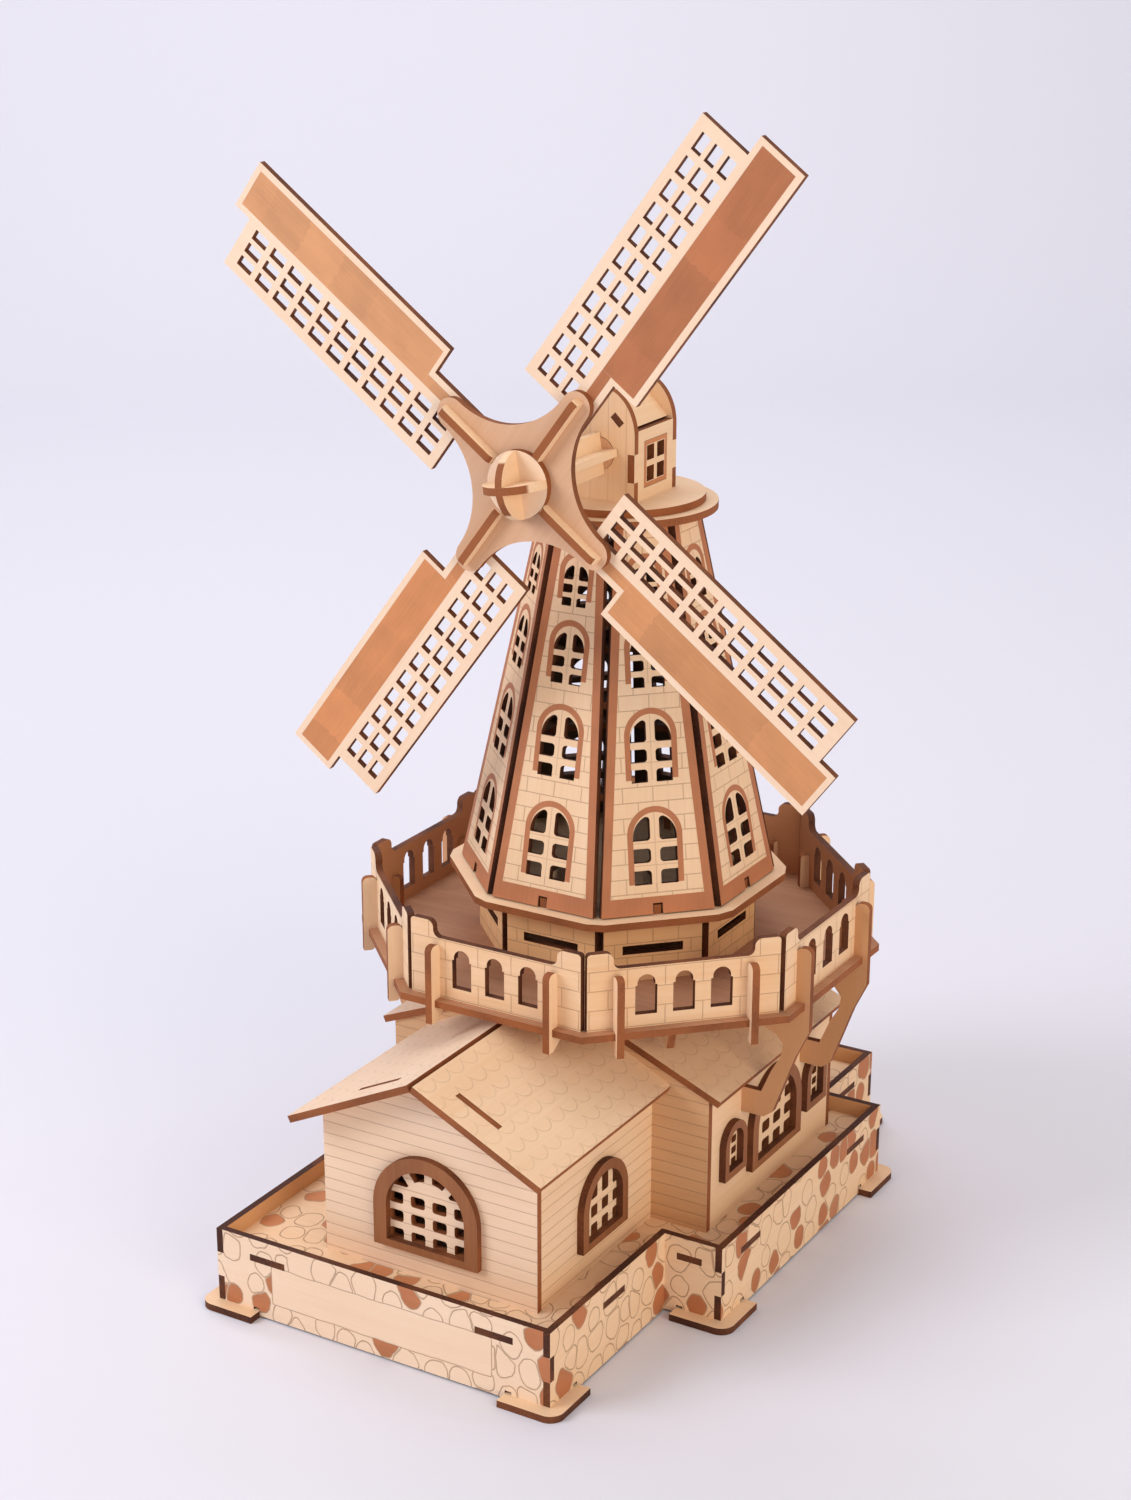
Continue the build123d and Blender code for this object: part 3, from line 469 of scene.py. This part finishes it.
def plywood(name, place, draw=None, grain="u", tone=BLOND, pale=PALE, edge=0.5, seed=0.0,
            tint=0.10, back=0.35, back_tone=HONEY, fill_tone=ENGRAVED):
    """Laser-cut basswood ply: fibrous faces, burnt edges, engraving on the show face.

    edge runs from 0, brown, to 1, charred. back is how far back_tone, a painted shade, covers the rear
    face.
    tint is how much the sheets of one node differ.
    """
    s = Shade(name)
    u, v, out, part = place(s)
    face = s.rise(out, 0.72, 0.80)
    rear = s.rise(s.mul(out, -1.0), 0.72, 0.80)
    cut = s.no(s.either(face, rear))
    along, across = (u, v) if grain == "u" else (v, u)
    sheet_seed = s.add(s.mul(s.random(part, seed), 40.0), seed * 7.0)

    # fibres: long streaks, fine pores and a slow drift of colour across the veneer
    fibre = s.noise(s.join(s.mul(along, 0.018), s.mul(across, 0.55), sheet_seed), 1.0, 5.0, 0.62)
    fine = s.noise(s.join(s.mul(along, 0.10), s.mul(across, 3.2), sheet_seed), 1.0, 3.0, 0.6)
    drift = s.noise(s.join(s.mul(along, 0.012), s.mul(across, 0.035), s.add(sheet_seed, 5.0)), 1.0, 2.0)
    specks = s.noise(s.join(s.mul(along, 0.35), s.mul(across, 5.0), sheet_seed), 1.0, 2.0)
    pores = s.rise(specks, 0.62, 0.74)
    share = s.add(s.mul(s.sub(fibre, 0.5), 1.1), s.add(s.mul(s.sub(fine, 0.5), 0.45), 0.5))
    share = s.add(share, s.mul(s.sub(drift, 0.5), 1.2))
    sheet = s.sub(s.random(part, seed + 1.0), 0.5)
    share = s.math("MULTIPLY_ADD", sheet, tint * 4, share, clamp=True)
    wood = s.mix(share, tone, pale)
    wood = s.mix(s.mul(pores, 0.16), wood, HONEY)

    # painted shade: the rear face, which faces inwards or away from the light, is mixed towards a
    # darker tone
    wood = s.mix(s.mul(rear, back), wood, back_tone)
    height = s.mul(s.add(s.mul(fine, 0.5), s.mul(fibre, 0.5)), 0.05)

    if draw:
        lines, fill = draw(s, u, v, s.add(part, seed))
        if fill is not None:
            fill = s.both(fill, face)
            swing = STAIN_SWING if draw is sail_face else 0.0
            stained = stain(s, u, v, along, across, sheet_seed, seed, swing, fill_tone)
            wood = s.mix(s.mul(fill, 0.96), wood, stained)
            height = s.sub(height, s.mul(fill, 0.12))
        if lines is not None:
            lines = s.both(lines, face)
            wood = s.mix(s.mul(lines, 0.78), wood, LINE)
            height = s.sub(height, s.mul(lines, 0.22))

    # the laser's cut: striped char, browner where the beam left quickly
    x, y, z = s.split(s.point)
    stripes = s.noise(s.join(s.mul(x, 1.3), s.mul(y, 1.3), s.mul(z, 1.3)), 1.0, 3.0, 0.7)
    patches = s.noise(s.vector("ADD", s.point, (3.0, 7.0, 1.0)), 0.045, 2.0)
    unevenness = s.add(s.mul(s.sub(stripes, 0.5), 0.9), s.mul(s.sub(patches, 0.5), 1.3))
    charring = s.math("ADD", unevenness, edge, clamp=True)
    burnt = s.mix(charring, BURNT, CHAR)
    colour = s.mix(cut, wood, burnt)
    height = s.add(height, s.mul(s.both(cut, stripes), 0.10))

    shader = s.tree.nodes.new("ShaderNodeBsdfPrincipled")
    output = s.tree.nodes.new("ShaderNodeOutputMaterial")
    bump = s.tree.nodes.new("ShaderNodeBump")
    bump.inputs["Distance"].default_value = 0.001
    bump.inputs["Strength"].default_value = 0.8
    s.link(bump.inputs["Height"], height)
    s.link(shader.inputs["Base Color"], colour)
    rough = s.add(s.mul(fine, 0.16), s.add(s.mul(cut, 0.12), 0.54))
    s.link(shader.inputs["Roughness"], rough)
    shader.inputs["Specular IOR Level"].default_value = 0.32
    s.link(shader.inputs["Normal"], bump.outputs[0])
    s.tree.links.new(shader.outputs[0], output.inputs["Surface"])
    return s.material


def wear(material, *names):
    """Give the named CAD nodes this material."""
    for name in names:
        slots = nodes[name].data.materials
        slots.clear()
        slots.append(material)


# ---- base ----
# painted light: the faces lit by the key, front and left, take the rosy tones; the same wood turned
# away stays blond
key_lit_rose = {"tone": KEY_LIT_ROSE, "pale": KEY_LIT_ROSE_PALE}
# painted shade: the inner faces of house, drum and cap walls are made nearly black, as the inside is in
# shade
inside_shade = {"back": 0.92, "back_tone": INSIDE_SHADE}
# painted shade: most of the base walls' inner faces take the darker rear tone
skirt = {"edge": 0.95, "back": 0.8, "fill_tone": (0.44, 0.150, 0.056)}
wear(plywood("base_front", facing_y, nameplate, seed=1.0, **skirt, **key_lit_rose),
     "front_wing_front_wall")
wear(plywood("base_cross", facing_y, pebbles, seed=2.0, **skirt), "rear_wing_rear_wall",
     "base_step_walls")
wear(plywood("base_side", facing_x, pebbles, seed=3.0, **skirt), "front_wing_side_wall",
     "base_left_wall", "main_side_wall", "rear_wing_side_wall")
wear(plywood("base_deck", facing_up, pebbles, edge=0.8, seed=4.0, back=0.3), "deck_plate")
wear(plywood("base_feet", facing_up, edge=0.8, seed=5.0), "corner_feet")

# ---- houses ----
boards = siding(5.0, deck_top + 2.0)
wear(plywood("house_gables", facing_y, boards, edge=0.15, seed=6.0, **key_lit_rose, **inside_shade),
     "front_house_gable", "rear_house_gable")
# painted shade and warm bounce light: the main gables get a darker, more orange tone than the other
# gables
wear(plywood("main_gables", facing_y, boards, edge=0.15, seed=6.5, tone=(0.60, 0.34, 0.17),
             pale=(0.70, 0.43, 0.23), **inside_shade), "main_house_front_gable",
     "main_house_rear_gable")
wear(plywood("house_sides", facing_x, boards, edge=0.35, seed=7.0, **inside_shade),
     "front_house_side_walls", "rear_house_side_walls")
wear(plywood("main_sides", facing_x, edge=0.35, seed=8.0, **inside_shade),
     "main_house_side_walls")
shingle = shingles(9.8, 8.0)
# painted light: the left roof panels, lit by the key, take the rosy tones and the right ones stay blond
for word, seed, painted_light_tone in (("left", 9.0, key_lit_rose), ("right", 10.0, {})):
    wear(plywood(f"main_roof_{word}", facing_slope(MAIN_SLOPE), shingle, edge=0.2, seed=seed,
                 back=0.5, **painted_light_tone), f"main_roof_{word}")
    wear(plywood(f"house_roof_{word}", facing_slope(HOUSE_SLOPE), shingle, edge=0.2,
                 seed=seed + 0.5, back=0.5, **painted_light_tone), f"front_roof_{word}", f"rear_roof_{word}")
brown = {"grain": "v", "tone": (0.20, 0.070, 0.025), "pale": (0.34, 0.130, 0.048)}
wear(plywood("frame_cross", facing_y, edge=0.55, seed=11.0, **brown), "gable_window_frames")
wear(plywood("frame_side", facing_x, edge=0.7, seed=12.0, **brown), "front_side_window_frames",
     "main_large_window_frames", "small_window_frames")
wear(plywood("inner_plates", facing_y, seed=13.0, tone=HONEY, edge=0.6), "inner_frame_long",
     "inner_frame_cross")

# ---- balcony ----
wear(plywood("balcony_planks", facing_up, planks(10.0, 64.0), tone=(0.40, 0.185, 0.095),
             pale=(0.54, 0.29, 0.17), edge=0.05, seed=14.0), "balcony_floor")
# painted shade: the railing's inner faces, turned to the tower, are mostly covered by a russet tone
wear(plywood("railing", facing_ring, bricks(15.2, 8.1, floor_top + 8.6), edge=0.75, seed=15.0,
             back=0.75, back_tone=RUSSET, tone=(0.78, 0.49, 0.27)), "railing_panels")
wear(plywood("brackets", across_ring, edge=0.18, seed=16.0), "short_brackets")
wear(plywood("knees", across_ring, edge=0.25, seed=17.0, tone=HONEY, pale=(0.62, 0.34, 0.19)),
     "long_brackets")
wear(plywood("ribs", across_ring, grain="v", edge=0.3, seed=18.0), "floor_support_ribs",
     "tower_foot_ribs")

# ---- drum and tower ----
# painted warm bounce light: the drum, which stands in shade, gets a brighter, more orange tone
wear(plywood("drum", facing_ring, bricks(10.6, 6.0, floor_top + 4.4), edge=0.8, seed=19.0,
             tone=(0.80, 0.47, 0.21), pale=(0.86, 0.56, 0.30), **inside_shade), "drum_walls")
wear(plywood("ledge", facing_up, edge=0.1, seed=20.0), "tower_ledge")
# painted shade: the tower panels' inner faces are near black, for the dark seen through the windows
wear(plywood("tower", facing_ring, tower_face, grain="v", edge=0.85, seed=21.0, tint=0.05,
             fill_tone=(0.42, 0.148, 0.060), back=0.95, back_tone=(0.030, 0.010, 0.005)),
     "tower_panels")
# painted shade: the rings inside the tower take the near-black inside tone
wear(plywood("tower_rings", facing_up, tone=INSIDE_SHADE, pale=(0.20, 0.085, 0.035), edge=0.6, seed=22.0),
     "tower_ring_lower", "tower_ring_middle", "tower_ring_upper")
wear(plywood("discs", facing_up, edge=0.05, seed=23.0), "tower_top_disc", "cap_base_disc",
     "cap_pivot_retainer")

# ---- cap ----
wear(plywood("cap_ends", facing_y, cap_end, grain="v", edge=0.1, seed=24.0), "cap_front_wall",
     "cap_back_wall")
wear(plywood("cap_sides", facing_x, cap_side, edge=0.3, seed=25.0, **inside_shade), "cap_side_walls")
wear(plywood("cap_roof", facing_slope(CAP_SLOPE), edge=0.7, seed=26.0), "cap_roof_panels")
wear(plywood("pin", facing_up, seed=27.0, edge=0.0), "cap_pivot_pin")

# ---- rotor: each sail's angle above +X, and its board's stain, whose tone per sail is partly real and partly painted sheen ----
rotor = {"sail_one": (-37.0, (0.54, 0.235, 0.092)), "sail_two": (53.0, (0.42, 0.140, 0.050)),
         "sail_three": (143.0, (0.61, 0.285, 0.125)), "sail_four": (233.0, (0.57, 0.220, 0.078))}
for number, (sail, (turn, board_stain_and_sheen)) in enumerate(rotor.items()):
    wear(plywood(sail, facing_rotor(turn), sail_face, edge=0.55, seed=28.0 + number, back=0.5,
                 fill_tone=board_stain_and_sheen, **key_lit_rose), sail)
first, second = rotor["sail_one"][0], rotor["sail_two"][0]
wear(plywood("hub", facing_rotor(first), grain="v", edge=0.3, seed=33.0,
             tone=(0.58, 0.335, 0.185), pale=(0.67, 0.415, 0.26)),
     "hub_plate", "hub_back_disc", "shaft_end_disc", "shaft_journals")
wear(plywood("nose", facing_rotor(first), edge=0.2, seed=33.5, **key_lit_rose), "nose_disc")
wear(plywood("hub_ribs", edge_on_rotor((first, second)), edge=0.05, seed=34.0), "hub_ribs")
wear(plywood("shaft", edge_on_rotor((first + 45, second + 45)), edge=0.1, seed=35.0),
     "shaft_plate_level", "shaft_plate_upright")

# ---- floor and light ----

def plain(name, colour, rough):
    material = bpy.data.materials.new(name)
    material.use_nodes = True
    shader = material.node_tree.nodes["Principled BSDF"]
    shader.inputs["Base Color"].default_value = (*colour, 1)
    shader.inputs["Roughness"].default_value = rough
    shader.inputs["Specular IOR Level"].default_value = 0.2
    return material


# ---- camera angles: turned from the front towards +X, and raised ----
TURN = math.radians(33.25)
RAISE = math.radians(20.65)

# ---- paper sweep: a floor that curves up into a wall behind the object ----
SWEEP_FRONT = -1.6
SWEEP_DEPTH = 2.6
SWEEP_WIDTH = 5.0
SWEEP_HEIGHT = 3.2
SWEEP_RADIUS = 0.9
SWEEP_STEPS = 24
profile = [(SWEEP_FRONT, 0.0)]
for i in range(SWEEP_STEPS + 1):
    a = math.pi / 2 * i / SWEEP_STEPS
    profile.append((SWEEP_DEPTH - SWEEP_RADIUS + SWEEP_RADIUS * math.sin(a),
                    SWEEP_RADIUS - SWEEP_RADIUS * math.cos(a)))
profile.append((SWEEP_DEPTH, SWEEP_HEIGHT))
back_dir = Vector((-math.sin(TURN), math.cos(TURN), 0))
side_dir = Vector((math.cos(TURN), math.sin(TURN), 0))
verts, faces = [], []
for i, (reach, rise) in enumerate(profile):
    for side in (-SWEEP_WIDTH / 2, SWEEP_WIDTH / 2):
        verts.append(back_dir * reach + side_dir * side + Vector((0, 0, rise)))
    if i:
        faces.append((2 * i - 2, 2 * i - 1, 2 * i + 1, 2 * i))
mesh = bpy.data.meshes.new("studio_sweep")
mesh.from_pydata(verts, [], faces)
for face in mesh.polygons:
    face.use_smooth = True
sweep = bpy.data.objects.new("studio_sweep", mesh)
bpy.context.scene.collection.objects.link(sweep)
sweep.data.materials.append(plain("studio_paper", (0.72, 0.715, 0.775), 0.9))


def lamp(name, place, aim, size, power, colour):
    data = bpy.data.lights.new(name, "AREA")
    data.shape, data.size, data.energy, data.color = "SQUARE", size, power, colour
    lamp_object = bpy.data.objects.new(name, data)
    lamp_object.location = place
    aim_turn = (Vector(aim) - Vector(place)).to_track_quat("-Z", "Y")
    lamp_object.rotation_euler = aim_turn.to_euler()
    bpy.context.scene.collection.objects.link(lamp_object)


centre = (0.0, 0.0, 0.2)
lamp("key", (-1.05, -1.2, 1.1), centre, 0.9, 19.5, (0.94, 0.94, 1.0))
lamp("warm", (1.6, -0.75, 0.65), centre, 1.2, 16.5, (1.0, 0.84, 0.64))
lamp("top", (0.1, 0.2, 1.8), centre, 1.2, 5.0, (1.0, 0.98, 0.97))
lamp("wall", (-0.9, 0.7, 2.6), (-1.3, 2.2, 1.1), 1.6, 40.0, (0.98, 0.97, 1.0))

# ---- world: a soft pale light, and past the sweep's edges a tone like the lit paper ----
world = bpy.data.worlds.new("studio")
bpy.context.scene.world = world
world.use_nodes = True
sky = world.node_tree.nodes["Background"]
sky.inputs["Color"].default_value = (0.88, 0.86, 0.92, 1)
sky.inputs["Strength"].default_value = 0.46
beyond = world.node_tree.nodes.new("ShaderNodeBackground")
beyond.inputs["Color"].default_value = (0.80, 0.785, 0.86, 1)
beyond.inputs["Strength"].default_value = 1.0
path = world.node_tree.nodes.new("ShaderNodeLightPath")
blend = world.node_tree.nodes.new("ShaderNodeMixShader")
world_links = world.node_tree.links
world_links.new(path.outputs["Is Camera Ray"], blend.inputs[0])
world_links.new(sky.outputs[0], blend.inputs[1])
world_links.new(beyond.outputs[0], blend.inputs[2])
world_output = world.node_tree.nodes["World Output"]
world_links.new(blend.outputs[0], world_output.inputs["Surface"])
bpy.context.scene.view_settings.view_transform = "Standard"

# ---- camera ----
TARGET = Vector((-0.0899, 0.0, 0.1494))
DISTANCE = 1.1829
ROLL = math.radians(-0.92)
LENS = 65.37
SENSOR = 36.0
SHIFT = (0.0864, 0.0563)
towards = Vector((math.sin(TURN) * math.cos(RAISE), -math.cos(TURN) * math.cos(RAISE),
                  math.sin(RAISE)))
right = (-towards).cross(Vector((0, 0, 1))).normalized()
up = right.cross(-towards)
turned_right = right * math.cos(ROLL) + up * math.sin(ROLL)
turned_up = up * math.cos(ROLL) - right * math.sin(ROLL)
view = Matrix((turned_right, turned_up, towards)).transposed().to_4x4()
view.translation = TARGET + towards * DISTANCE

data = bpy.data.cameras.new("camera")
data.sensor_fit, data.sensor_height, data.sensor_width = "VERTICAL", SENSOR, SENSOR
data.lens = LENS
data.shift_x, data.shift_y = SHIFT
data.clip_start, data.clip_end = 0.05, 20.0
camera = bpy.data.objects.new("camera", data)
camera.matrix_world = view
bpy.context.scene.collection.objects.link(camera)
bpy.context.scene.camera = camera
